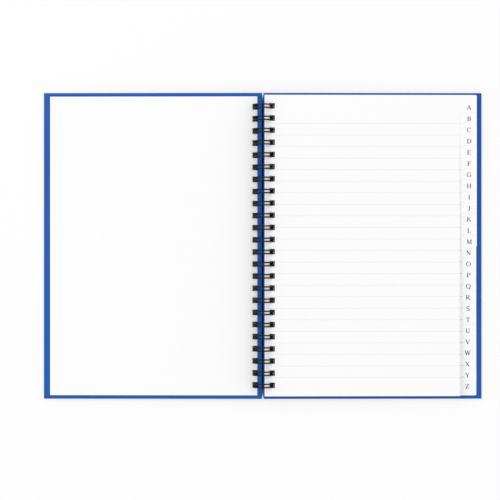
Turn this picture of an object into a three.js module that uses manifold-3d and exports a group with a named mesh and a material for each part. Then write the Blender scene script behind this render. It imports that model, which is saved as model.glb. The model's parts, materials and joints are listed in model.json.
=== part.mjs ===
// An A5 indexed notebook with hard covers on a twin-wire binding, lying open at its first page.
// Millimetres, +Z up. X runs across the open book, Y from its tail to its head, and the origin is on
// the table, under the axis of the wire's rings. Covers and leaves are laid out as they lie when the
// book is closed, in a frame on that axis: X from spine to fore-edge, Z through the stack.
import * as THREE from "three";
import { mergeGeometries, mergeVertices } from "three/addons/utils/BufferGeometryUtils.js";
import Module from "manifold-3d";

const wasm = await Module();
wasm.setup();

// Binding wire: one black wire, bent into twin loops at three to the inch
const WIRE_DIAMETER = 1;
const RING_DIAMETER = 15;
const LOOP_PITCH = 25.4 / 3;
const TWIN_SPACING = 2.3;
const SEAM_GAP = 2.1;
const BEND_RADIUS = 0.8;
const END_STUB = 2;
const SEAM_ANGLE = -Math.PI / 2;

// Punched holes
const HOLE_SIZE = 4;
const LEAF_BRIDGE = 3.2;

// Ruled leaves, cut in steps down the fore-edge so that every letter shows. Each cut is a little
// shallower than the one above it, so that the wall of cut edges leans out towards the tail.
const LEAF_WIDTH = 148;
const LEAF_HEIGHT = 210;
const LEAF_CORNER_RADIUS = 1.5;
const SHEET_THICKNESS = 0.08;
const SHEETS_PER_LETTER = 3;
const LETTERS = "abcdefghijklmnopqrstuvwxyz";
const LETTERS_PER_PACK = 2;
const FIRST_TAB_WIDTH = 12;
const LAST_TAB_WIDTH = 9.1;
const FIRST_TAB_HEIGHT = 12.1;
const LAST_TAB_HEIGHT = 10.7;
const LEAF_AIR = 0.03;
const COVER_AIR = 0.05;

// Hard covers: grey board in a blue paper wrap, with a white endpaper over the turned-in edges
const FORE_OVERHANG = 4.4;
const HEAD_OVERHANG = 2.2;
const COVER_SPACING = 1.1;
const COVER_EDGE_RADIUS = 0.35;
const BOARD_THICKNESS = 1.5;
const PAPER_THICKNESS = 0.15;
const GLUE_LINE = 0.02;
const TURN_IN_FORE = 4.4;
const TURN_IN_HEAD = 2.5;
const TURN_IN_SPINE = 3.3;

// Facets of the wire and of the rounds
const WIRE_SIDES = 5;
const ARC_STEPS = 13;
const TIP_STEPS = 4;
const BEND_STEPS = 2;
const EDGE_STEPS = 2;
const CORNER_STEPS = 3;

// Room that a cut takes beyond the faces it passes through
const OVERCUT = 1;

// Sizes that follow from those above. The flats of the faceted ring come nearer to its axis than
// its corners do.
const wireRadius = WIRE_DIAMETER / 2;
const ringOuter = RING_DIAMETER / 2;
const ringCentre = ringOuter - wireRadius;
const ringInner = ringCentre * Math.cos(Math.PI / ARC_STEPS) - wireRadius;
const loopCount = Math.floor(LEAF_HEIGHT / LOOP_PITCH);
const stepCount = LETTERS.length - 2;
const tabPitch = (LEAF_HEIGHT - FIRST_TAB_HEIGHT - LAST_TAB_HEIGHT) / stepCount;
const tabNarrowing = (FIRST_TAB_WIDTH - LAST_TAB_WIDTH) / stepCount;
const letterThickness = SHEETS_PER_LETTER * SHEET_THICKNESS;
const packThickness = LETTERS_PER_PACK * letterThickness;
const packCount = LETTERS.length / LETTERS_PER_PACK;
const blockHalf = (packCount * (packThickness + LEAF_AIR) - LEAF_AIR) / 2;
const coverInner = blockHalf + COVER_AIR;
const coverThickness = 2 * (PAPER_THICKNESS + GLUE_LINE) + BOARD_THICKNESS;
const coverOuter = coverInner + coverThickness;

// Distance from the rings' axis, along a sheet at height z in the stack, to a circle about that axis.
const along = (radius, z) => Math.sqrt(radius ** 2 - z ** 2);

// Each hole is centred on the stretch where the curved wire crosses its sheets.
const coverHoleMid = (along(ringInner, coverOuter) + along(ringOuter, coverInner)) / 2;
const leafHoleMid = (along(ringInner, blockHalf) + ringOuter) / 2;
const coverSpine = COVER_SPACING / 2;
const leafSpine = leafHoleMid - HOLE_SIZE / 2 - LEAF_BRIDGE;
const leafFore = leafSpine + LEAF_WIDTH;
const coverFore = leafFore + FORE_OVERHANG;

// The rings hold the covers' spine edges off the table, so each half slopes down to its fore-edge
// and touches the table there with its rounded edge.
const edgeMid = [coverFore - COVER_EDGE_RADIUS, coverOuter - COVER_EDGE_RADIUS];
const edgeFall = Math.asin((ringOuter - COVER_EDGE_RADIUS) / Math.hypot(...edgeMid));
const slope = edgeFall - Math.atan2(edgeMid[1], edgeMid[0]);
const openTurn = Math.PI + 2 * slope;

const paint = (color, roughness, metalness = 0) =>
  new THREE.MeshStandardMaterial({ color, roughness, metalness });
const blackWire = paint(0x17171a, 0.35, 0.6);
const blueWrap = paint(0x2a5fb0, 0.45);
const greyBoard = paint(0x9a9288, 0.95);
const whitePaper = paint(0xf6f6f4, 0.8);

const loopY = (i) => (i - (loopCount - 1) / 2) * LOOP_PITCH;

function solidOf(geometry) {
  const bare = geometry.clone();
  bare.deleteAttribute("normal");
  bare.deleteAttribute("uv");
  const merged = mergeVertices(bare, 1e-4);
  const vertProperties = merged.getAttribute("position").array;
  const triVerts = new Uint32Array(merged.index.array);
  return new wasm.Manifold(new wasm.Mesh({ numProp: 3, vertProperties, triVerts }));
}

function geometryOf(solid) {
  const { vertProperties, triVerts } = solid.getMesh();
  return new THREE.BufferGeometry()
    .setAttribute("position", new THREE.BufferAttribute(vertProperties, 3))
    .setIndex(new THREE.BufferAttribute(triVerts, 1));
}

// A block between two corners, as a geometry.
function block(x0, x1, y0, y1, z0, z1) {
  return new THREE.BoxGeometry(x1 - x0, y1 - y0, z1 - z0).translate(
    (x0 + x1) / 2,
    (y0 + y1) / 2,
    (z0 + z1) / 2,
  );
}

// A flat sheet of the given outline and thickness, with its long edges rounded on both faces.
function sheet(outline, thickness, edgeRadius = 0) {
  const geometry = new THREE.ExtrudeGeometry(outline, {
    depth: thickness - 2 * edgeRadius,
    curveSegments: CORNER_STEPS,
    bevelEnabled: edgeRadius > 0,
    bevelThickness: edgeRadius,
    bevelSize: edgeRadius,
    bevelOffset: -edgeRadius,
    bevelSegments: EDGE_STEPS,
  });
  return solidOf(geometry.translate(0, 0, edgeRadius));
}

// The same solid with the row of square holes punched through it.
function punched(solid, holeMid) {
  const half = HOLE_SIZE / 2;
  const { min, max } = solid.boundingBox();
  const punches = [];
  for (let i = 0; i < loopCount; i++) {
    const y = [loopY(i) - half, loopY(i) + half];
    punches.push(block(holeMid - half, holeMid + half, ...y, min[2] - OVERCUT, max[2] + OVERCUT));
  }
  return solid.subtract(solidOf(mergeGeometries(punches)));
}

function rectangle(x0, x1, halfY) {
  const corners = [[x0, -halfY], [x1, -halfY], [x1, halfY], [x0, halfY]];
  return new THREE.Shape(corners.map(([x, y]) => new THREE.Vector2(x, y)));
}

// Points of the wire's centre line on the unrolled ring: travel round the ring, and place along Y.
// It is a meander of long fingers, each bent over at its tip, with a straight run to the next.
function meander() {
  const reach = 2 * Math.PI * ringCentre - SEAM_GAP;
  const tipRadius = TWIN_SPACING / 2;
  const points = [[0, loopY(0) - tipRadius - END_STUB]];
  const bend = (midTravel, midY, radius, from, to, steps) => {
    for (let k = 0; k <= steps; k++) {
      const a = from + ((to - from) * k) / steps;
      points.push([midTravel + radius * Math.cos(a), midY + radius * Math.sin(a)]);
    }
  };
  const straight = (from, to, y) => {
    for (let k = 1; k < ARC_STEPS; k++) points.push([from + ((to - from) * k) / ARC_STEPS, y]);
  };
  const low = BEND_RADIUS;
  const high = reach - tipRadius;
  for (let i = 0; i < loopCount; i++) {
    const near = loopY(i) - tipRadius;
    const far = loopY(i) + tipRadius;
    bend(low, near - BEND_RADIUS, BEND_RADIUS, Math.PI, Math.PI / 2, BEND_STEPS);
    straight(low, high, near);
    bend(high, loopY(i), tipRadius, -Math.PI / 2, Math.PI / 2, TIP_STEPS);
    straight(high, low, far);
    bend(low, far + BEND_RADIUS, BEND_RADIUS, -Math.PI / 2, -Math.PI, BEND_STEPS);
  }
  points.push([0, loopY(loopCount - 1) + tipRadius + END_STUB]);
  return points;
}

// The same points rolled round the ring, each with the ring's outward direction there.
function rolled(points) {
  return points.map(([travel, y]) => {
    const angle = SEAM_ANGLE + travel / ringCentre;
    const out = new THREE.Vector3(Math.cos(angle), 0, Math.sin(angle));
    return { out, at: out.clone().multiplyScalar(ringCentre).setY(y) };
  });
}

// The least clear gap between stretches of the wire that aren't next to each other.
function leastGap(line) {
  let travelled = 0;
  const stations = line.map(({ at }, i) => {
    travelled += i ? at.distanceTo(line[i - 1].at) : 0;
    return travelled;
  });
  const apart = Math.PI * TWIN_SPACING;
  let least = Infinity;
  for (let i = 0; i < line.length; i++)
    for (let j = i + 1; j < line.length; j++)
      if (stations[j] - stations[i] > apart) least = Math.min(least, line[i].at.distanceTo(line[j].at));
  return least - WIRE_DIAMETER;
}

// One unbroken wire: a polygon carried along the line, with a corner always facing out of the ring.
function wireGeometry(line) {
  const vertices = [];
  const faces = [];
  line.forEach(({ at, out }, i) => {
    const before = line[Math.max(i - 1, 0)].at;
    const after = line[Math.min(i + 1, line.length - 1)].at;
    const side = new THREE.Vector3().subVectors(after, before).cross(out).normalize();
    for (let k = 0; k < WIRE_SIDES; k++) {
      const a = (2 * Math.PI * k) / WIRE_SIDES;
      const p = at.clone().addScaledVector(out, wireRadius * Math.cos(a));
      p.addScaledVector(side, wireRadius * Math.sin(a));
      vertices.push(p.x, p.y, p.z);
    }
  });
  const index = (ring, k) => ring * WIRE_SIDES + (k % WIRE_SIDES);
  for (let ring = 0; ring < line.length - 1; ring++)
    for (let k = 0; k < WIRE_SIDES; k++) {
      faces.push(index(ring, k), index(ring, k + 1), index(ring + 1, k + 1));
      faces.push(index(ring, k), index(ring + 1, k + 1), index(ring + 1, k));
    }
  const last = line.length - 1;
  for (let k = 1; k < WIRE_SIDES - 1; k++) {
    faces.push(index(0, 0), index(0, k + 1), index(0, k));
    faces.push(index(last, 0), index(last, k), index(last, k + 1));
  }
  return new THREE.BufferGeometry()
    .setAttribute("position", new THREE.BufferAttribute(new Float32Array(vertices), 3))
    .setIndex(faces);
}

function bindingWire() {
  const line = rolled(meander());
  console.log("least gap between stretches of the wire: " + leastGap(line).toFixed(2) + " mm");
  const wire = new THREE.Mesh(wireGeometry(line), blackWire);
  wire.name = "binding_wire";
  return wire;
}

// Height on the page of the lower end of a letter's tab: the last letter's reaches the tail.
function tabFoot(letter) {
  const last = letter === LETTERS.length - 1;
  return last ? -LEAF_HEIGHT / 2 : LEAF_HEIGHT / 2 - FIRST_TAB_HEIGHT - letter * tabPitch;
}

// How far out from the axis a letter's leaves are cut, below their tab.
const cutEdge = (letter) => leafFore - FIRST_TAB_WIDTH + letter * tabNarrowing;

// A leaf's outline: the page, and its letter's tab from the head down to the tab's foot. The cutter
// rounds its outer corners.
function leafOutline(letter) {
  const head = LEAF_HEIGHT / 2;
  const foot = tabFoot(letter);
  const cut = cutEdge(letter);
  const round = LEAF_CORNER_RADIUS;
  const outline = new THREE.Shape();
  outline.moveTo(leafSpine, head);
  outline.lineTo(leafSpine, -head);
  if (foot > -head) {
    outline.absarc(cut - round, round - head, round, -Math.PI / 2, 0, false);
    outline.lineTo(cut, foot);
    outline.lineTo(leafFore, foot);
  } else {
    outline.absarc(leafFore - round, round - head, round, -Math.PI / 2, 0, false);
  }
  outline.absarc(leafFore - round, head - round, round, 0, Math.PI / 2, false);
  return outline;
}

// The leaves of neighbouring letters: the lowest letter's outline, stepped back for those above it.
function leafPack(first) {
  const lowest = first + LETTERS_PER_PACK - 1;
  const beyond = [leafFore + OVERCUT, -LEAF_HEIGHT / 2 - OVERCUT, packThickness + OVERCUT];
  let pack = punched(sheet(leafOutline(lowest), packThickness), leafHoleMid);
  for (let letter = first; letter < lowest; letter++) {
    const floor = packThickness - (letter - first + 1) * letterThickness;
    const step = block(cutEdge(letter), beyond[0], beyond[1], tabFoot(letter), floor, beyond[2]);
    pack = pack.subtract(solidOf(step));
  }
  const mesh = new THREE.Mesh(geometryOf(pack), whitePaper);
  mesh.name = "index_leaves_" + LETTERS.slice(first, first + LETTERS_PER_PACK);
  return mesh;
}

// One hard cover in three pieces, from its outer face at z = 0 to its endpaper.
function cover(side) {
  const half = LEAF_HEIGHT / 2 + HEAD_OVERHANG;
  const skin = PAPER_THICKNESS;
  const clear = skin + GLUE_LINE;
  const layerFloor = clear + BOARD_THICKNESS + GLUE_LINE;
  const x0 = coverSpine;
  const x1 = coverFore;
  const window = [x0 + TURN_IN_SPINE, x1 - TURN_IN_FORE, TURN_IN_HEAD - half, half - TURN_IN_HEAD];
  const boardSpace = block(x0 + skin, x1 - skin, skin - half, half - skin, skin, layerFloor);
  const opening = block(...window, skin, coverThickness + OVERCUT);
  const folded = sheet(rectangle(x0, x1, half), coverThickness, COVER_EDGE_RADIUS)
    .subtract(solidOf(boardSpace))
    .subtract(solidOf(opening));
  const boardOutline = rectangle(x0 + clear, x1 - clear, half - clear);
  const paperOutline = rectangle(window[0] + GLUE_LINE, window[1] - GLUE_LINE, window[3] - GLUE_LINE);
  const pieces = new THREE.Group();
  const add = (name, solid, material, z) => {
    const mesh = new THREE.Mesh(geometryOf(punched(solid, coverHoleMid)), material);
    mesh.name = side + "_" + name;
    mesh.position.z = z;
    pieces.add(mesh);
  };
  add("cover_wrap", folded, blueWrap, 0);
  add("board", sheet(boardOutline, BOARD_THICKNESS), greyBoard, clear);
  add("endpaper", sheet(paperOutline, skin), whitePaper, layerFloor);
  return pieces;
}

const notebook = new THREE.Group();
notebook.position.z = ringOuter;
notebook.add(bindingWire());

const rightHalf = new THREE.Group();
rightHalf.rotation.y = slope;
notebook.add(rightHalf);

const backCover = cover("back");
backCover.position.z = -coverOuter;
rightHalf.add(backCover);

for (let pack = 0; pack < packCount; pack++) {
  const leaves = leafPack(pack * LETTERS_PER_PACK);
  leaves.position.z = blockHalf - packThickness - pack * (packThickness + LEAF_AIR);
  rightHalf.add(leaves);
}

// The front cover lies face down on the left, turned right over the rings from its closed place.
const leftHalf = new THREE.Group();
leftHalf.rotation.y = slope - openTurn;
notebook.add(leftHalf);

const frontCover = cover("front");
frontCover.rotation.x = Math.PI;
frontCover.position.z = coverOuter;
leftHalf.add(frontCover);

const scene = new THREE.Group();
scene.add(notebook);
export default scene;
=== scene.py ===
"""An A5 indexed notebook on a twin-wire binding, open at its first page, dressed over its frame."""
import json
import math
import random

import bmesh
import bpy
from mathutils import Matrix, Vector


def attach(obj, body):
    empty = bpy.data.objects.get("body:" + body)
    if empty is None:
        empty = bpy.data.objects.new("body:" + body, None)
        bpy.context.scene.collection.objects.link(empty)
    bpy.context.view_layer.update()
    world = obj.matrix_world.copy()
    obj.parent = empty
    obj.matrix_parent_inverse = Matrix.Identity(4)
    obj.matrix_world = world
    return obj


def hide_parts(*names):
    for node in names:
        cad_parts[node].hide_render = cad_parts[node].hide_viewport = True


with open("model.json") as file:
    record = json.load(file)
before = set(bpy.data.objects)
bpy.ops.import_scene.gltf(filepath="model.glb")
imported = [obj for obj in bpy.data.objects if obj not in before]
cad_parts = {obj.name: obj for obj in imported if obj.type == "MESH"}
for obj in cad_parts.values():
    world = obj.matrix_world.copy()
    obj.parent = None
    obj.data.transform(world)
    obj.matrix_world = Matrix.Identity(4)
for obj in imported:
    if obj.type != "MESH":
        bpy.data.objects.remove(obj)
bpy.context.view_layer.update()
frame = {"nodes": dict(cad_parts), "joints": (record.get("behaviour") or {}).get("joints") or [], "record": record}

# How the notebook lies: the rings hold the spine edges off the table, and each half slopes from
# there to its fore-edge. Every sheet is drawn in millimetres as in the closed book: out from the
# rings' axis, along the spine from tail to head, and up through the stack.
MM = 0.001
front_hinge = next(joint for joint in frame["joints"] if joint["name"] == "front_cover_turn")
back_face = next(mount for mount in frame["record"]["mounts"] if mount["name"] == "back_cover_face")
slope = math.asin(-back_face["axis"][0])
ring_axis = Matrix.Translation(front_hinge["pos_m"])
RIGHT_HALF = ring_axis @ Matrix.Rotation(slope, 4, "Y") @ Matrix.Scale(MM, 4)
LEFT_HALF = ring_axis @ Matrix.Rotation(-math.pi - slope, 4, "Y") @ Matrix.Scale(MM, 4)


# The covers' wraps: blue printed paper with a matt film, glued round grey board and turned in
# over its four edges with mitred corners. The board's edges show as soft, rounded ones, and the
# binder's die has punched a row of square holes through cover and turn-in alike.
PAPER_SKIN = 0.15
GLUE_LINE = 0.02
COVER_EDGE_RADIUS = 0.35
HOLE_SIZE = 4
HOLE_CORNER_RADIUS = 0.35
LOOP_COUNT = 24
LOOP_PITCH = 25.4 / 3
MITRE_WIDTH = 0.16
MITRE_DEPTH = 0.06
OVERCUT = 1
WRAP_BLUE = "#135AAC"
WRAP_BLUE_DEEP = "#0D53A4"

# A Mix node's two colours and their mix, by socket number, because the names aren't unique.
COLOUR_A = 6
COLOUR_B = 7
MIXED_COLOUR = 2


def linear(hex_colour):
    """An sRGB hex colour as the linear RGBA that shaders take."""
    shares = [int(hex_colour[i : i + 2], 16) / 255 for i in (1, 3, 5)]
    return [s / 12.92 if s <= 0.04045 else ((s + 0.055) / 1.055) ** 2.4 for s in shares] + [1.0]


def add_node(tree, kind, inputs=None, **settings):
    """Adds a shader node, with its settings, and its inputs as values or as sockets to link."""
    made = tree.nodes.new("ShaderNode" + kind)
    for name, value in settings.items():
        setattr(made, name, value)
    for socket, value in (inputs or {}).items():
        if isinstance(value, bpy.types.NodeSocket):
            tree.links.new(value, made.inputs[socket])
        else:
            made.inputs[socket].default_value = value
    return made


def new_material(name):
    """An empty material, its tree and its output node."""
    material = bpy.data.materials.new(name)
    material.use_nodes = True
    material.node_tree.nodes.clear()
    return material, material.node_tree, add_node(material.node_tree, "OutputMaterial")


def laminated_paper():
    """Matt film over print: an even, saturated blue with a soft sheen and a faint fibre grain."""
    # The real fibres are too fine to show, so their grain is drawn as coarse as half a millimetre.
    CLOUD_MM, FIBRE_MM, FIBRE_DEPTH_MM = 45, 0.5, 0.03
    material, tree, output = new_material("matt_laminated_blue_paper")
    place = add_node(tree, "TexCoord").outputs["Object"]
    cloud = add_node(tree, "TexNoise", {"Vector": place, "Scale": 1 / (CLOUD_MM * MM), "Detail": 2.0})
    blues = {
        "Factor": cloud.outputs["Fac"],
        COLOUR_A: linear(WRAP_BLUE),
        COLOUR_B: linear(WRAP_BLUE_DEEP),
    }
    tint = add_node(tree, "Mix", blues, data_type="RGBA")
    fibre = add_node(tree, "TexNoise", {"Vector": place, "Scale": 1 / (FIBRE_MM * MM), "Detail": 4.0})
    grain = {"Height": fibre.outputs["Fac"], "Strength": 0.12, "Distance": FIBRE_DEPTH_MM * MM}
    relief = add_node(tree, "Bump", grain)
    sheen = add_node(tree, "MapRange", {"Value": fibre.outputs["Fac"], "To Min": 0.42, "To Max": 0.54})
    shader = add_node(
        tree,
        "BsdfPrincipled",
        {
            "Base Color": tint.outputs[MIXED_COLOUR],
            "Roughness": sheen.outputs["Result"],
            "Normal": relief.outputs["Normal"],
            "IOR": 1.5,
            "Specular IOR Level": 0.25,
        },
    )
    tree.links.new(shader.outputs["BSDF"], output.inputs["Surface"])
    return material


def points_of(node, half):
    """The corners of a CAD node in its half's own millimetres."""
    back = half.inverted()
    return [back @ vertex.co for vertex in frame["nodes"][node].data.vertices]


def laid_out(node, half):
    """Lowest and highest corner of a CAD node in its half's own millimetres."""
    points = points_of(node, half)
    low = Vector([min(p[i] for p in points) for i in range(3)])
    high = Vector([max(p[i] for p in points) for i in range(3)])
    return low, high


def holes_start(node, half):
    """How far out from the rings' axis the row of punched holes begins: next after the spine edge."""
    PAST_THE_EDGE = 1
    points = points_of(node, half)
    spine = min(p.x for p in points)
    return min(p.x for p in points if p.x > spine + PAST_THE_EDGE)


def block(low, high):
    """A closed box between two corners."""
    shape = bmesh.new()
    size = [high[i] - low[i] for i in range(3)]
    middle = [(high[i] + low[i]) / 2 for i in range(3)]
    bmesh.ops.create_cube(shape, size=1, matrix=Matrix.Translation(middle) @ Matrix.Diagonal((*size, 1)))
    return shape


def round_edges(shape, edges, radius, steps):
    """Rounds some of a shape's edges, in that many steps."""
    bmesh.ops.bevel(shape, geom=edges, offset=radius, segments=steps, profile=0.5, affect="EDGES")


def hole_rows():
    """Places of the loops along the spine."""
    return [(i - (LOOP_COUNT - 1) / 2) * LOOP_PITCH for i in range(LOOP_COUNT)]


def punches(near, low, high):
    """The die's square pins, with their corners rounded."""
    pins = bmesh.new()
    for along in hole_rows():
        pin = block((near, along - HOLE_SIZE / 2, low), (near + HOLE_SIZE, along + HOLE_SIZE / 2, high))
        upright = [e for e in pin.edges if abs(e.verts[0].co.z - e.verts[1].co.z) > OVERCUT]
        round_edges(pin, upright, HOLE_CORNER_RADIUS, 3)
        part = bpy.data.meshes.new("pin")
        pin.to_mesh(part)
        pins.from_mesh(part)
        pin.free()
        bpy.data.meshes.remove(part)
    return pins


def as_object(shape, name):
    """A linked object that holds the shape, which is used up."""
    mesh = bpy.data.meshes.new(name)
    shape.to_mesh(mesh)
    shape.free()
    made = bpy.data.objects.new(name, mesh)
    bpy.context.scene.collection.objects.link(made)
    return made


def cut_away(shape, cutters):
    """The shape less each of the cutters."""
    kept = as_object(shape, "kept")
    tools = [as_object(cutter, "cutter") for cutter in cutters]
    for tool in tools:
        change = kept.modifiers.new("cut", "BOOLEAN")
        change.operation = "DIFFERENCE"
        change.solver = "EXACT"
        change.object = tool
    evaluated = kept.evaluated_get(bpy.context.evaluated_depsgraph_get())
    result = bmesh.new()
    result.from_mesh(evaluated.to_mesh())
    evaluated.to_mesh_clear()
    for used in [kept, *tools]:
        mesh = used.data
        bpy.data.objects.remove(used)
        bpy.data.meshes.remove(mesh)
    return result


def make_piece(name, shape, half, body, material):
    """The shape, drawn in its half's millimetres, as a piece that rides on a body."""
    made = as_object(shape, name)
    made.data.transform(half)
    made.data.materials.append(material)
    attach(made, body)
    return made


def smooth_rounds(piece, sharpest):
    """Smooth shading, with edges sharper than that many degrees kept crisp."""
    piece.data.shade_smooth()
    piece.data.set_sharp_from_angle(angle=math.radians(sharpest))


def mitre(corner, target):
    """A thin groove along the slanting seam where two turn-ins meet at a corner, cut from above."""
    run = Vector(target) - Vector(corner)
    groove = block((0, -MITRE_WIDTH / 2, -MITRE_DEPTH), (run.length, MITRE_WIDTH / 2, OVERCUT))
    turn = Matrix.Rotation(math.atan2(run.y, run.x), 4, "Z")
    groove.transform(Matrix.Translation((*corner, 0)) @ turn)
    return groove


def mitres(outside, window, inner, inward):
    """The four corners' mitres, from the cover's outside corners in to the endpaper's."""
    grooves = []
    for corner_x, window_x in zip((outside[0].x, outside[1].x), (window[0][0], window[1][0])):
        for corner_y, window_y in zip((outside[0].y, outside[1].y), (window[0][1], window[1][1])):
            groove = mitre((corner_x, corner_y), (window_x, window_y))
            groove.transform(Matrix.Translation((0, 0, inner)) @ Matrix.Diagonal((1, 1, inward, 1)))
            bmesh.ops.recalc_face_normals(groove, faces=groove.faces)
            grooves.append(groove)
    return grooves


def cover_wrap(side, half, inward):
    """One cover's wrap. inward is +1 where the endpaper faces up the stack, and -1 where down."""
    low, high = laid_out(side + "_cover_wrap", half)
    shell = block(low, high)
    round_edges(shell, shell.edges[:], COVER_EDGE_RADIUS, 4)
    inner = high.z if inward > 0 else low.z
    outer = low.z if inward > 0 else high.z
    cavity = sorted((outer + inward * PAPER_SKIN, inner - inward * PAPER_SKIN))
    mouth = sorted((outer + inward * PAPER_SKIN, inner + inward * OVERCUT))
    paper_low, paper_high = laid_out(side + "_endpaper", half)
    window_low = (paper_low.x - GLUE_LINE, paper_low.y - GLUE_LINE)
    window_high = (paper_high.x + GLUE_LINE, paper_high.y + GLUE_LINE)
    board_space = block(
        (low.x + PAPER_SKIN, low.y + PAPER_SKIN, cavity[0]),
        (high.x - PAPER_SKIN, high.y - PAPER_SKIN, cavity[1]),
    )
    window = block((*window_low, mouth[0]), (*window_high, mouth[1]))
    pins = punches(holes_start(side + "_board", half), low.z - OVERCUT, high.z + OVERCUT)
    grooves = mitres((low, high), (window_low, window_high), inner, inward)
    cutters = [board_space, window, pins, *grooves]
    wrap = make_piece(side + "_wrap", cut_away(shell, cutters), half, side + "_cover", wrap_material)
    smooth_rounds(wrap, 40)
    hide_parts(side + "_cover_wrap")


wrap_material = laminated_paper()
cover_wrap("back", RIGHT_HALF, 1)
cover_wrap("front", LEFT_HALF, -1)


# The boards: pulp board of 1.5 mm, pressed from waste paper. Raw grey-brown edges with dark
# flecks show inside the punched holes.
BOARD_GREY = "#8B857B"
BOARD_FLECK = "#5E5850"


def grey_board():
    """Recycled pulp: dull, rough and flecked."""
    FLECK_MM, FLECK_DEPTH_MM = 0.6, 0.1
    material, tree, output = new_material("pressed_grey_board")
    place = add_node(tree, "TexCoord").outputs["Object"]
    fleck = add_node(tree, "TexNoise", {"Vector": place, "Scale": 1 / (FLECK_MM * MM), "Detail": 3.0})
    spread = {"Value": fleck.outputs["Fac"], "From Min": 0.35, "From Max": 0.65}
    shade = add_node(tree, "MapRange", spread)
    greys = {
        "Factor": shade.outputs["Result"],
        COLOUR_A: linear(BOARD_FLECK),
        COLOUR_B: linear(BOARD_GREY),
    }
    tint = add_node(tree, "Mix", greys, data_type="RGBA")
    pulp = {"Height": fleck.outputs["Fac"], "Strength": 0.4, "Distance": FLECK_DEPTH_MM * MM}
    relief = add_node(tree, "Bump", pulp)
    shader = add_node(
        tree,
        "BsdfPrincipled",
        {
            "Base Color": tint.outputs[MIXED_COLOUR],
            "Roughness": 0.95,
            "Normal": relief.outputs["Normal"],
        },
    )
    tree.links.new(shader.outputs["BSDF"], output.inputs["Surface"])
    return material


board_material = grey_board()
for board in ("front_board", "back_board"):
    frame["nodes"][board].data.materials.clear()
    frame["nodes"][board].data.materials.append(board_material)


# The endpapers and leaves: white wood-free paper, sized for writing. The leaves are printed on
# both sides with feint rules, eight millimetres apart, that run off at the spine and at the cut
# below each tab. The ink lies heavier at that end and ticks the wall of cut edges.
PAPER_WHITE = "#FBFBFC"
PAPER_SHADE = "#F9F9FA"
RULE_GREY = "#E6E6E8"
TICK_LILAC = "#CBC7D2"
RULE_PITCH = 8.05
RULE_WIDTH = 0.3
RULE_COUNT = 23
FIRST_RULE = 85.3
RULE_END = 137.5
RULE_END_DRIFT = 0.02
TICK_START = 137.2
TICK_FULL = 137.5


def near_a_rule(tree, rows):
    """1 within half a rule's width of the middle of a row, and 0 elsewhere."""
    share = add_node(tree, "Math", {0: rows}, operation="FRACT").outputs[0]
    centred = add_node(tree, "Math", {0: share, 1: 0.5}, operation="SUBTRACT").outputs[0]
    away = add_node(tree, "Math", {0: centred}, operation="ABSOLUTE").outputs[0]
    half_width = RULE_WIDTH / RULE_PITCH / 2
    return add_node(tree, "Math", {0: away, 1: half_width}, operation="LESS_THAN").outputs[0]


def rule_mask(tree, spot):
    """1 on the rules: evenly spaced rows, from the first to the last, out to the leaning cut."""
    down = add_node(tree, "Math", {0: FIRST_RULE * MM, 1: spot["Y"]}, operation="SUBTRACT").outputs[0]
    row = add_node(tree, "Math", {0: down, 1: RULE_PITCH * MM}, operation="DIVIDE").outputs[0]
    rows = add_node(tree, "Math", {0: row, 1: 0.5}, operation="ADD").outputs[0]
    drift = add_node(tree, "Math", {0: down, 1: RULE_END_DRIFT}, operation="MULTIPLY").outputs[0]
    reach = add_node(tree, "Math", {0: drift, 1: RULE_END * MM}, operation="ADD").outputs[0]
    past_first = add_node(tree, "Math", {0: rows, 1: 0.0}, operation="GREATER_THAN")
    before_last = add_node(tree, "Math", {0: rows, 1: float(RULE_COUNT)}, operation="LESS_THAN")
    inside = add_node(tree, "Math", {0: spot["X"], 1: reach}, operation="LESS_THAN")
    mask = near_a_rule(tree, rows)
    for limit in (past_first, before_last, inside):
        mask = add_node(tree, "Math", {0: mask, 1: limit.outputs[0]}, operation="MULTIPLY").outputs[0]
    return mask


def print_rules(tree, place, paper):
    """The paper's colour with the rules printed on it."""
    spot = add_node(tree, "SeparateXYZ", {"Vector": place}).outputs
    ends = {"Value": spot["X"], "From Min": TICK_START * MM, "From Max": TICK_FULL * MM}
    heavier = add_node(tree, "MapRange", ends).outputs["Result"]
    inks = {"Factor": heavier, COLOUR_A: linear(RULE_GREY), COLOUR_B: linear(TICK_LILAC)}
    ink = add_node(tree, "Mix", inks, data_type="RGBA").outputs[MIXED_COLOUR]
    printed = {"Factor": rule_mask(tree, spot), COLOUR_A: paper, COLOUR_B: ink}
    return add_node(tree, "Mix", printed, data_type="RGBA").outputs[MIXED_COLOUR]


def writing_paper(name, ruled):
    """Wood-free paper: bright, matt, with a fine uneven formation, and rules where it is ruled."""
    # The real fibres are too fine to show, so they are drawn as coarse as a third of a millimetre.
    FIBRE_MM, FIBRE_DEPTH_MM, CLOUD_MM = 0.35, 0.02, 6
    material, tree, output = new_material(name)
    place = add_node(tree, "TexCoord").outputs["Object"]
    cloud = add_node(tree, "TexNoise", {"Vector": place, "Scale": 1 / (CLOUD_MM * MM), "Detail": 3.0})
    whites = {
        "Factor": cloud.outputs["Fac"],
        COLOUR_A: linear(PAPER_WHITE),
        COLOUR_B: linear(PAPER_SHADE),
    }
    colour = add_node(tree, "Mix", whites, data_type="RGBA").outputs[MIXED_COLOUR]
    if ruled:
        colour = print_rules(tree, place, colour)
    fibre = add_node(tree, "TexNoise", {"Vector": place, "Scale": 1 / (FIBRE_MM * MM), "Detail": 4.0})
    grain = {"Height": fibre.outputs["Fac"], "Strength": 0.15, "Distance": FIBRE_DEPTH_MM * MM}
    relief = add_node(tree, "Bump", grain)
    shader = add_node(
        tree,
        "BsdfPrincipled",
        {"Base Color": colour, "Roughness": 0.85, "Normal": relief.outputs["Normal"], "IOR": 1.4},
    )
    tree.links.new(shader.outputs["BSDF"], output.inputs["Surface"])
    return material


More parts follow.
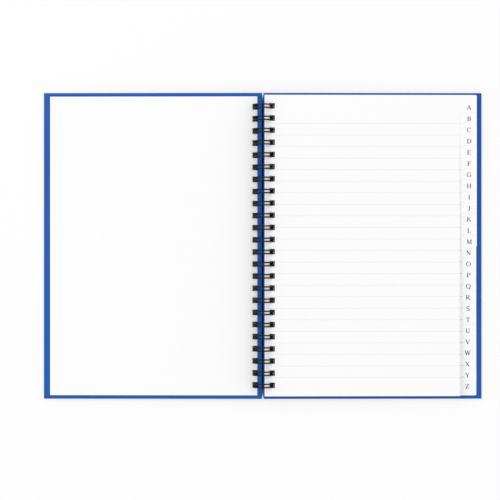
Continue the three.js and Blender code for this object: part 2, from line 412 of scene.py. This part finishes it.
endpaper_material = writing_paper("wood_free_endpaper", False)
for endpaper in ("front_endpaper", "back_endpaper"):
    frame["nodes"][endpaper].data.materials.clear()
    frame["nodes"][endpaper].data.materials.append(endpaper_material)


# The index leaves: three sheets for every letter, cut in steps down the fore-edge so that each
# letter's tab stands out below the one above it. Each cut is a little shallower than the last. The
# leaves lie in two blocks, each slid out a little further from its first letter to its last.
SHEETS_PER_LETTER = 3
SHEET_AIR = 0.012
JOG = 0.06
SLIDE_A_LETTER = 0.045
LETTERS_PER_BLOCK = 13
BLOCK_SLIDES = (-0.05, 0.08)
SLIDE_TO_HEAD = 0.22
LETTER_TURN = 0.03
JOG_SEED = 24
LEAF_CORNER_RADIUS = 0.8
FIRST_TAB_WIDTH = 12
LAST_TAB_WIDTH = 9.1
CUT_STEPS = 24
FIRST_TAB_HEIGHT = 12.1
TAB_PITCH = 7.8
PACK_NODES = sorted(name for name in frame["nodes"] if name.startswith("index_leaves_"))
LETTERS_PER_PACK = 2
LETTERS = "".join(name[-LETTERS_PER_PACK:] for name in PACK_NODES)


def rounded_outline(corners):
    """A closed outline through (x, y, radius) corners, with each round as an arc of steps."""
    STEPS = 5
    outline = []
    count = len(corners)
    for i, (x, y, radius) in enumerate(corners):
        here = Vector((x, y))
        back = (Vector(corners[i - 1][:2]) - here).normalized()
        ahead = (Vector(corners[(i + 1) % count][:2]) - here).normalized()
        if radius == 0:
            outline.append(here)
            continue
        centre = here + radius * (back + ahead)
        for k in range(STEPS + 1):
            share = math.pi / 2 * k / STEPS
            outline.append(centre - radius * (ahead * math.cos(share) + back * math.sin(share)))
    return outline


def square_hole(near, along):
    """A punched hole's outline."""
    half = HOLE_SIZE / 2
    low, high, far = along - half, along + half, near + HOLE_SIZE
    corners = [(near, low), (far, low), (far, high), (near, high)]
    return rounded_outline([(*corner, HOLE_CORNER_RADIUS) for corner in corners])


def flat_sheet(loops, bottom, thickness):
    """A closed sheet between loops of points: the first is its outline, the rest are its holes."""
    shape = bmesh.new()
    for loop in loops:
        corners = [shape.verts.new((x, y, bottom)) for x, y in loop]
        for i, corner in enumerate(corners):
            shape.edges.new((corners[i - 1], corner))
    bmesh.ops.triangle_fill(shape, use_beauty=True, edges=shape.edges[:], normal=(0, 0, -1))
    lower = shape.faces[:]
    raised = bmesh.ops.extrude_face_region(shape, geom=lower)
    new_corners = [item for item in raised["geom"] if isinstance(item, bmesh.types.BMVert)]
    bmesh.ops.translate(shape, verts=new_corners, vec=(0, 0, thickness))
    bmesh.ops.recalc_face_normals(shape, faces=shape.faces[:])
    return shape


def leaf_outline(low, high, cut, foot):
    """A leaf with its tab, which stands out past the cut from the head down to the tab's foot."""
    radius = LEAF_CORNER_RADIUS
    corners = [(low.x, low.y, 0), (cut, low.y, radius), (cut, foot, 0), (high.x, foot, radius / 2)]
    if foot <= low.y:
        corners = [(low.x, low.y, 0), (high.x, low.y, radius)]
    return rounded_outline(corners + [(high.x, high.y, radius), (low.x, high.y, 0)])


class Tab:
    """Where one letter's leaves lie: their CAD node, body, heights in the stack and lie on the rings."""

    def __init__(self, letter, turn):
        self.order = LETTERS.index(letter)
        self.node = PACK_NODES[self.order // LETTERS_PER_PACK]
        self.body = self.node.removeprefix("index_")
        self.low, self.high = laid_out(self.node, RIGHT_HALF)
        self.thickness = (self.high.z - self.low.z) / LETTERS_PER_PACK
        self.top = self.high.z - self.order % LETTERS_PER_PACK * self.thickness
        self.foot = self.high.y - FIRST_TAB_HEIGHT - self.order * TAB_PITCH
        narrowing = (FIRST_TAB_WIDTH - LAST_TAB_WIDTH) * self.order / CUT_STEPS
        self.cut = self.high.x - FIRST_TAB_WIDTH + narrowing
        batch, place = divmod(self.order, LETTERS_PER_BLOCK)
        slide = BLOCK_SLIDES[batch] + place * SLIDE_A_LETTER
        slid = Matrix.Translation((slide, SLIDE_TO_HEAD, 0))
        self.lie = slid @ Matrix.Rotation(math.radians(turn), 4, "Z")


def letter_leaves(letter, tab, jog):
    """The sheets of one letter as one piece, each a hair out of line with the last."""
    foot = tab.low.y if letter == LETTERS[-1] else tab.foot
    pitch = tab.thickness / SHEETS_PER_LETTER
    near = holes_start(tab.node, RIGHT_HALF)
    pile = bmesh.new()
    for i in range(1, SHEETS_PER_LETTER + 1):
        outline = leaf_outline(tab.low, tab.high, tab.cut, foot)
        holes = [square_hole(near, along) for along in hole_rows()]
        sheet = flat_sheet([outline, *holes], tab.top - i * pitch + SHEET_AIR / 2, pitch - SHEET_AIR)
        sheet.transform(Matrix.Translation((jog.uniform(-JOG, JOG), jog.uniform(-JOG, JOG), 0)))
        part = bpy.data.meshes.new("sheet")
        sheet.to_mesh(part)
        pile.from_mesh(part)
        sheet.free()
        bpy.data.meshes.remove(part)
    pile.transform(tab.lie)
    leaves = make_piece("leaves_" + letter, pile, RIGHT_HALF, tab.body, leaf_material)
    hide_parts(tab.node)


leaf_material = writing_paper("feint_ruled_leaf", True)
sheet_jog = random.Random(JOG_SEED)
tabs = {}
for letter in LETTERS:
    tabs[letter] = Tab(letter, sheet_jog.uniform(-LETTER_TURN, LETTER_TURN))
    letter_leaves(letter, tabs[letter], sheet_jog)


# The index letters: a serif alphabet printed in grey, one letter on each tab, in one column.
# Every glyph is a few pen strokes on a body one cap high, thick where the pen goes down and thin
# where it crosses.
CAP_HEIGHT = 3.15
CAP_STRETCH = 1.3
STROKE_THICK = 0.165
STROKE_THIN = 0.08
SERIF_REACH = 0.11
LETTER_ABOVE_FOOT = 3.35
LETTER_FROM_EDGE = 5.3
COLUMN_LEAN = 0.08
INK_THICKNESS = 0.008
INK_GREY = "#4E4A50"
INK_GREY_PALE = "#77757C"


def line(weight, *points):
    """A straight pen stroke, thick or thin."""
    return ("line", weight, points)


def bowl(x, y, wide, high, start, end):
    """A round pen stroke about a centre, between two angles in degrees."""
    return ("bowl", (x, y), (wide, high), (start, end))


def serifs(*points):
    """A short thin stroke across each stem's end."""
    return [line("thin", (x - SERIF_REACH, y), (x + SERIF_REACH, y)) for x, y in points]


GLYPHS = {
    "a": [
        line("thin", (0.36, 1), (0.07, 0)),
        line("thick", (0.36, 1), (0.66, 0)),
        line("thin", (0.17, 0.35), (0.54, 0.35)),
        *serifs((0.08, 0.02), (0.66, 0.02)),
    ],
    "b": [
        line("thick", (0.17, 0), (0.17, 1)),
        bowl(0.32, 0.75, 0.22, 0.23, 90, -90),
        bowl(0.34, 0.27, 0.26, 0.25, 90, -90),
        line("thin", (0.05, 0.98), (0.32, 0.98)),
        line("thin", (0.17, 0.52), (0.34, 0.52)),
        line("thin", (0.05, 0.02), (0.34, 0.02)),
    ],
    "c": [
        bowl(0.44, 0.5, 0.34, 0.48, 50, 310),
        line("thin", (0.72, 0.68), (0.7, 0.98)),
    ],
    "d": [
        line("thick", (0.17, 0), (0.17, 1)),
        bowl(0.32, 0.5, 0.38, 0.48, 90, -90),
        line("thin", (0.05, 0.98), (0.32, 0.98)),
        line("thin", (0.05, 0.02), (0.32, 0.02)),
    ],
    "e": [
        line("thick", (0.17, 0), (0.17, 1)),
        line("thin", (0.05, 0.98), (0.62, 0.98)),
        line("thin", (0.17, 0.52), (0.46, 0.52)),
        line("thin", (0.05, 0.02), (0.64, 0.02)),
        line("thin", (0.61, 0.98), (0.62, 0.78)),
        line("thin", (0.46, 0.64), (0.46, 0.4)),
        line("thin", (0.63, 0.02), (0.67, 0.24)),
    ],
    "f": [
        line("thick", (0.17, 0), (0.17, 1)),
        line("thin", (0.05, 0.98), (0.6, 0.98)),
        line("thin", (0.17, 0.52), (0.46, 0.52)),
        line("thin", (0.59, 0.98), (0.6, 0.78)),
        line("thin", (0.46, 0.64), (0.46, 0.4)),
        *serifs((0.17, 0.02)),
    ],
    "g": [
        bowl(0.44, 0.5, 0.34, 0.48, 50, 300),
        line("thin", (0.72, 0.68), (0.7, 0.98)),
        line("thick", (0.68, 0.06), (0.68, 0.42)),
        *serifs((0.68, 0.42)),
    ],
    "h": [
        line("thick", (0.17, 0), (0.17, 1)),
        line("thick", (0.65, 0), (0.65, 1)),
        line("thin", (0.17, 0.52), (0.65, 0.52)),
        *serifs((0.17, 0.02), (0.17, 0.98), (0.65, 0.02), (0.65, 0.98)),
    ],
    "i": [line("thick", (0.36, 0), (0.36, 1)), *serifs((0.36, 0.02), (0.36, 0.98))],
    "j": [
        line("thick", (0.42, 0.22), (0.42, 1)),
        bowl(0.29, 0.22, 0.13, 0.22, 0, -140),
        *serifs((0.42, 0.98)),
    ],
    "k": [
        line("thick", (0.17, 0), (0.17, 1)),
        line("thin", (0.62, 0.98), (0.2, 0.44)),
        line("thick", (0.34, 0.6), (0.68, 0.02)),
        *serifs((0.17, 0.02), (0.17, 0.98), (0.62, 0.98), (0.68, 0.02)),
    ],
    "l": [
        line("thick", (0.2, 0), (0.2, 1)),
        line("thin", (0.08, 0.02), (0.62, 0.02)),
        line("thin", (0.61, 0.02), (0.65, 0.28)),
        *serifs((0.2, 0.98)),
    ],
    "m": [
        line("thin", (0.12, 0), (0.12, 1)),
        line("thick", (0.12, 1), (0.42, 0.06)),
        line("thin", (0.42, 0.06), (0.74, 1)),
        line("thick", (0.74, 0), (0.74, 1)),
        *serifs((0.12, 0.02), (0.12, 0.98), (0.74, 0.02), (0.74, 0.98)),
    ],
    "n": [
        line("thin", (0.15, 0), (0.15, 1)),
        line("thick", (0.15, 0.98), (0.66, 0.02)),
        line("thin", (0.66, 0), (0.66, 1)),
        *serifs((0.15, 0.02), (0.12, 0.98), (0.66, 0.98)),
    ],
    "o": [bowl(0.42, 0.5, 0.34, 0.48, 0, 360)],
    "p": [
        line("thick", (0.17, 0), (0.17, 1)),
        bowl(0.32, 0.73, 0.25, 0.25, 90, -90),
        line("thin", (0.05, 0.98), (0.32, 0.98)),
        line("thin", (0.17, 0.48), (0.32, 0.48)),
        *serifs((0.17, 0.02)),
    ],
    "q": [bowl(0.42, 0.5, 0.34, 0.48, 0, 360), line("thick", (0.44, 0.04), (0.74, -0.18))],
    "r": [
        line("thick", (0.17, 0), (0.17, 1)),
        bowl(0.32, 0.74, 0.23, 0.24, 90, -90),
        line("thin", (0.05, 0.98), (0.32, 0.98)),
        line("thin", (0.17, 0.5), (0.32, 0.5)),
        line("thick", (0.34, 0.5), (0.68, 0.02)),
        *serifs((0.17, 0.02), (0.7, 0.02)),
    ],
    "s": [
        bowl(0.36, 0.75, 0.2, 0.23, 40, 250),
        line("thick", (0.24, 0.6), (0.5, 0.4)),
        bowl(0.36, 0.26, 0.22, 0.24, 70, -140),
        line("thin", (0.54, 0.76), (0.54, 0.98)),
        line("thin", (0.16, 0.24), (0.15, 0.02)),
    ],
    "t": [
        line("thick", (0.36, 0), (0.36, 1)),
        line("thin", (0.06, 0.98), (0.66, 0.98)),
        line("thin", (0.06, 0.98), (0.05, 0.76)),
        line("thin", (0.66, 0.98), (0.67, 0.76)),
        *serifs((0.36, 0.02)),
    ],
    "u": [
        line("thick", (0.18, 0.3), (0.18, 1)),
        bowl(0.41, 0.3, 0.23, 0.28, 180, 360),
        line("thin", (0.64, 0.3), (0.64, 1)),
        *serifs((0.18, 0.98), (0.64, 0.98)),
    ],
    "v": [
        line("thick", (0.09, 1), (0.38, 0)),
        line("thin", (0.38, 0), (0.66, 1)),
        *serifs((0.1, 0.98), (0.65, 0.98)),
    ],
    "w": [
        line("thick", (0.04, 1), (0.26, 0)),
        line("thin", (0.26, 0), (0.44, 1)),
        line("thick", (0.44, 1), (0.64, 0)),
        line("thin", (0.64, 0), (0.84, 1)),
        *serifs((0.05, 0.98), (0.44, 0.98), (0.83, 0.98)),
    ],
    "x": [
        line("thick", (0.12, 0.98), (0.66, 0.02)),
        line("thin", (0.12, 0.02), (0.64, 0.98)),
        *serifs((0.12, 0.98), (0.66, 0.02), (0.12, 0.02), (0.64, 0.98)),
    ],
    "y": [
        line("thick", (0.1, 0.98), (0.38, 0.48)),
        line("thin", (0.38, 0.48), (0.66, 0.98)),
        line("thick", (0.38, 0), (0.38, 0.5)),
        *serifs((0.1, 0.98), (0.66, 0.98), (0.38, 0.02)),
    ],
    "z": [
        line("thin", (0.1, 0.98), (0.62, 0.98)),
        line("thick", (0.58, 0.98), (0.12, 0.02)),
        line("thin", (0.1, 0.02), (0.64, 0.02)),
        line("thin", (0.11, 0.98), (0.1, 0.78)),
        line("thin", (0.63, 0.02), (0.66, 0.24)),
    ],
}


def pen_path(stroke):
    """The points of a stroke, each with the pen's width there."""
    FEWEST_STEPS, DEGREES_A_STEP, PEN_SWELL = 8, 12, 1.4
    if stroke[0] == "line":
        width = STROKE_THICK if stroke[1] == "thick" else STROKE_THIN
        return [(Vector(point), width) for point in stroke[2]]
    centre, radii, (start, end) = stroke[1:]
    steps = max(FEWEST_STEPS, round(abs(end - start) / DEGREES_A_STEP))
    path = []
    for k in range(steps + 1):
        angle = math.radians(start + (end - start) * k / steps)
        point = Vector((centre[0] + radii[0] * math.cos(angle), centre[1] + radii[1] * math.sin(angle)))
        width = STROKE_THIN + (STROKE_THICK - STROKE_THIN) * abs(math.cos(angle)) ** PEN_SWELL
        path.append((point, width))
    return path


def ink_stroke(shape, stroke, to_page, floor):
    """A flat ribbon of ink along a stroke, closed all round."""
    path = pen_path(stroke)
    rings = []
    for i, (point, width) in enumerate(path):
        before = path[max(i - 1, 0)][0]
        after = path[min(i + 1, len(path) - 1)][0]
        across = (after - before).normalized().orthogonal() * width / 2
        left, right = to_page(point + across), to_page(point - across)
        top = floor + INK_THICKNESS
        corners = [(left, floor), (right, floor), (right, top), (left, top)]
        rings.append([shape.verts.new((spot.x, spot.y, up)) for spot, up in corners])
    for here, there in zip(rings, rings[1:]):
        for k in range(4):
            shape.faces.new((here[k], here[(k + 1) % 4], there[(k + 1) % 4], there[k]))
    shape.faces.new(rings[0])
    shape.faces.new(rings[-1][::-1])


def printed_letter(letter, tab):
    """One capital, printed on its tab."""
    strokes = GLYPHS[letter]
    across = [point.x for stroke in strokes for point, _ in pen_path(stroke)]
    middle = (min(across) + max(across)) / 2
    lean = COLUMN_LEAN * max(0, tab.order - LETTERS_PER_BLOCK)
    column = tab.high.x - LETTER_FROM_EDGE - lean
    origin = Vector((column, tab.foot + LETTER_ABOVE_FOOT - CAP_HEIGHT / 2))

    def to_page(point):
        """A glyph's point in the page's millimetres."""
        return origin + Vector(((point.x - middle) * CAP_STRETCH, point.y)) * CAP_HEIGHT

    shape = bmesh.new()
    for stroke in strokes:
        ink_stroke(shape, stroke, to_page, tab.top - SHEET_AIR / 2)
    bmesh.ops.recalc_face_normals(shape, faces=shape.faces[:])
    shape.transform(tab.lie)
    make_piece("letter_" + letter, shape, RIGHT_HALF, tab.body, ink_material)


def printing_ink():
    """Offset ink on uncoated paper: grey, dull, a little uneven where the fibres drink it."""
    # The real speckle is too fine to show, so it is drawn as coarse as a fifth of a millimetre.
    SPECKLE_MM = 0.2
    material, tree, output = new_material("grey_offset_ink")
    place = add_node(tree, "TexCoord").outputs["Object"]
    speckle = add_node(tree, "TexNoise", {"Vector": place, "Scale": 1 / (SPECKLE_MM * MM), "Detail": 2.0})
    inks = {
        "Factor": speckle.outputs["Fac"],
        COLOUR_A: linear(INK_GREY),
        COLOUR_B: linear(INK_GREY_PALE),
    }
    tint = add_node(tree, "Mix", inks, data_type="RGBA")
    ink = {"Base Color": tint.outputs[MIXED_COLOUR], "Roughness": 0.8}
    shader = add_node(tree, "BsdfPrincipled", ink)
    tree.links.new(shader.outputs["BSDF"], output.inputs["Surface"])
    return material


ink_material = printing_ink()
for letter, tab in tabs.items():
    printed_letter(letter, tab)


# The binding: one steel wire with a black nylon coat, bent into a comb of 24 twin fingers and
# rolled round until their tips meet the straight back of the comb at the seam underneath.
WIRE_DIAMETER = 1
TWIN_SPACING = 2.3
SEAM_GAP = 2.1
BEND_RADIUS = 0.8
END_STUB = 2
SEAM_ANGLE = -math.pi / 2
WIRE_SIDES = 12
ARC_STEPS = 44
TIP_STEPS = 12
BEND_STEPS = 6
WIRE_BLACK = "#0D0D0F"
WIRE_BLACK_WARM = "#151314"


def wire_line(centre_radius):
    """Stations along the wire: its travel round the ring and its place along the spine."""
    reach = 2 * math.pi * centre_radius - SEAM_GAP
    tip = TWIN_SPACING / 2
    rows = hole_rows()
    stations = [(0, rows[0] - tip - END_STUB)]

    def bend(travel, along, radius, start, end, steps):
        """Adds stations round an arc of the flat comb."""
        for k in range(steps + 1):
            angle = start + (end - start) * k / steps
            stations.append((travel + radius * math.cos(angle), along + radius * math.sin(angle)))

    def run(start, end, along):
        """Adds stations along one leg of a loop."""
        for k in range(1, ARC_STEPS):
            stations.append((start + (end - start) * k / ARC_STEPS, along))

    quarter = math.pi / 2
    for row in rows:
        near, far = row - tip, row + tip
        bend(BEND_RADIUS, near - BEND_RADIUS, BEND_RADIUS, math.pi, quarter, BEND_STEPS)
        run(BEND_RADIUS, reach - tip, near)
        bend(reach - tip, row, tip, -quarter, quarter, TIP_STEPS)
        run(reach - tip, BEND_RADIUS, far)
        bend(BEND_RADIUS, far + BEND_RADIUS, BEND_RADIUS, -quarter, -math.pi, BEND_STEPS)
    stations.append((0, rows[-1] + tip + END_STUB))
    return stations


def coated_wire():
    """Nylon over drawn steel: black, smooth and half glossy, with a warm tinge in its lights."""
    # The coat's grain is too fine to show, so it is drawn as coarse as 0.4 mm.
    GRAIN_MM, GRAIN_DEPTH_MM = 0.4, 0.02
    material, tree, output = new_material("nylon_coated_steel")
    place = add_node(tree, "TexCoord").outputs["Object"]
    grain = add_node(tree, "TexNoise", {"Vector": place, "Scale": 1 / (GRAIN_MM * MM), "Detail": 2.0})
    gloss = add_node(tree, "MapRange", {"Value": grain.outputs["Fac"], "To Min": 0.36, "To Max": 0.48})
    blacks = {
        "Factor": grain.outputs["Fac"],
        COLOUR_A: linear(WIRE_BLACK),
        COLOUR_B: linear(WIRE_BLACK_WARM),
    }
    tint = add_node(tree, "Mix", blacks, data_type="RGBA")
    coat = {"Height": grain.outputs["Fac"], "Strength": 0.1, "Distance": GRAIN_DEPTH_MM * MM}
    relief = add_node(tree, "Bump", coat)
    shader = add_node(
        tree,
        "BsdfPrincipled",
        {
            "Base Color": tint.outputs[MIXED_COLOUR],
            "Roughness": gloss.outputs["Result"],
            "Normal": relief.outputs["Normal"],
            "IOR": 1.52,
            "Specular IOR Level": 0.22,
        },
    )
    tree.links.new(shader.outputs["BSDF"], output.inputs["Surface"])
    return material


def rolled(stations, centre_radius):
    """The flat comb's stations on the rings, each with the way out from the rings' axis."""
    path = []
    for travel, along in stations:
        angle = SEAM_ANGLE + travel / centre_radius
        out = Vector((math.cos(angle), 0, math.sin(angle)))
        path.append((out * centre_radius + Vector((0, along, 0)), out))
    return path


def wire_section(shape, spot, out, ahead):
    """The corners of the wire's round section at one spot, square to the way ahead."""
    side = ahead.cross(out).normalized()
    corners = []
    for k in range(WIRE_SIDES):
        angle = 2 * math.pi * k / WIRE_SIDES
        reach = (out * math.cos(angle) + side * math.sin(angle)) * WIRE_DIAMETER / 2
        corners.append(shape.verts.new(spot + reach))
    return corners


def binding_wire():
    """The whole wire as one tube, with its two cut ends rounded."""
    centre_radius = front_hinge["pos_m"][2] / MM - WIRE_DIAMETER / 2
    path = rolled(wire_line(centre_radius), centre_radius)
    shape = bmesh.new()
    rings = []
    for i, (spot, out) in enumerate(path):
        before = path[max(i - 1, 0)][0]
        after = path[min(i + 1, len(path) - 1)][0]
        rings.append(wire_section(shape, spot, out, after - before))
    for here, there in zip(rings, rings[1:]):
        for k in range(WIRE_SIDES):
            beside = (k + 1) % WIRE_SIDES
            shape.faces.new((here[k], here[beside], there[beside], there[k]))
    ends = [shape.faces.new(rings[0][::-1]), shape.faces.new(rings[-1])]
    rims = [edge for end in ends for edge in end.edges]
    round_edges(shape, rims, WIRE_DIAMETER / 6, 3)
    wire = make_piece("twin_wire", shape, ring_axis @ Matrix.Scale(MM, 4), "wire", coated_wire())
    smooth_rounds(wire, 60)
    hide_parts("binding_wire")


binding_wire()


# The table and the light: a white card sweep under a large soft lamp, up and to the left of the
# book, in an even white room. Part of the card's white is its own glow, so that the open table is
# as white as a studio's and the lamp needn't burn out the pages. Where ambient occlusion finds the card hemmed in
# under the book, its colour is painted grey and its glow fades: painted shade.
TABLE_SIZE = 6
LAMP_PLACE = Vector((-1.2, 0.9, 2.2))
LAMP_SIZE = 1.6
LAMP_WATTS = 13
WORLD_STRENGTH = 0.885
CARD_WHITE = "#FAFAFA"
# Painted shade: the grey that the card's colour is mixed toward where ambient occlusion finds a deep gap.
CARD_PAINTED_SHADE = "#6E6E6E"
TABLE_GLOW = 0.6
PAINTED_SHADE_REACH_MM = 15
FULL_PAINTED_SHADE_SKY = 0.2
NO_PAINTED_SHADE_SKY = 0.45


def seen_directly(tree):
    """1 where the camera, a reflection or glass looks at the surface, and 0 where light bounces."""
    path = add_node(tree, "LightPath").outputs
    seen = path["Is Camera Ray"]
    for ray in ("Is Glossy Ray", "Is Transmission Ray"):
        seen = add_node(tree, "Math", {0: seen, 1: path[ray]}, operation="MAXIMUM").outputs[0]
    return seen


def white_table():
    """Matt white card: evenly white in the open, with a pale shadow, and painted shade in deep gaps, where ambient
    occlusion turns its colour grey and fades its glow.
    """
    material, tree, output = new_material("white_card")
    # Painted shade: ambient occlusion picks out the deep gaps under the book, and the card's colour is mixed
    # toward grey there.
    sky = add_node(tree, "AmbientOcclusion", {"Distance": PAINTED_SHADE_REACH_MM * MM}).outputs["AO"]
    reach = {"Value": sky, "From Min": FULL_PAINTED_SHADE_SKY, "From Max": NO_PAINTED_SHADE_SKY}
    outside_painted_shade = add_node(tree, "MapRange", reach).outputs["Result"]
    greys = {"Factor": outside_painted_shade, COLOUR_A: linear(CARD_PAINTED_SHADE), COLOUR_B: linear(CARD_WHITE)}
    tint = add_node(tree, "Mix", greys, data_type="RGBA")
    card = add_node(tree, "BsdfPrincipled", {"Base Color": tint.outputs[MIXED_COLOUR], "Roughness": 0.9})
    glow = add_node(tree, "Emission", {"Color": (1, 1, 1, 1), "Strength": 1.0})
    lit = add_node(tree, "Math", {0: outside_painted_shade, 1: TABLE_GLOW}, operation="MULTIPLY")
    share = add_node(tree, "Math", {0: seen_directly(tree), 1: lit.outputs[0]}, operation="MULTIPLY")
    blend = add_node(tree, "MixShader", {0: share.outputs[0]})
    tree.links.new(card.outputs["BSDF"], blend.inputs[1])
    tree.links.new(glow.outputs["Emission"], blend.inputs[2])
    tree.links.new(blend.outputs["Shader"], output.inputs["Surface"])
    return material


table_shape = bmesh.new()
bmesh.ops.create_grid(table_shape, x_segments=1, y_segments=1, size=TABLE_SIZE / 2)
table = as_object(table_shape, "table")
table.data.materials.append(white_table())

lamp = bpy.data.lights.new("softbox", "AREA")
lamp.size = LAMP_SIZE
lamp.energy = LAMP_WATTS
softbox = bpy.data.objects.new("softbox", lamp)
softbox.location = LAMP_PLACE
softbox.rotation_euler = (-LAMP_PLACE).to_track_quat("-Z", "Y").to_euler()
bpy.context.scene.collection.objects.link(softbox)

world = bpy.data.worlds.new("studio")
world.use_nodes = True
background = world.node_tree.nodes["Background"]
background.inputs["Color"].default_value = (1, 1, 1, 1)
brightness = add_node(
    world.node_tree,
    "MapRange",
    {"Value": seen_directly(world.node_tree), "To Min": WORLD_STRENGTH, "To Max": 1.0},
)
world.node_tree.links.new(brightness.outputs["Result"], background.inputs["Strength"])
bpy.context.scene.world = world
bpy.context.scene.view_settings.view_transform = "Standard"


# The camera: straight above the book, where the photograph has the rings' axis a little right of
# its middle and the book's middle just above it.
FRAME_PIXELS = 500
PIXELS_PER_MM = 1.423
SPINE_PIXEL = Vector((262.7, 245.9))
CAMERA_HEIGHT = 1200
SENSOR_WIDTH = 36

middle_pixel = Vector((FRAME_PIXELS / 2, FRAME_PIXELS / 2))
aside = (middle_pixel - SPINE_PIXEL) / PIXELS_PER_MM
eye = bpy.data.cameras.new("copy_stand")
eye.sensor_width = SENSOR_WIDTH
eye.lens = SENSOR_WIDTH * CAMERA_HEIGHT * PIXELS_PER_MM / FRAME_PIXELS
camera = bpy.data.objects.new("copy_stand", eye)
camera.location = Vector((aside.x, -aside.y, CAMERA_HEIGHT)) * MM
bpy.context.scene.collection.objects.link(camera)
bpy.context.scene.camera = camera
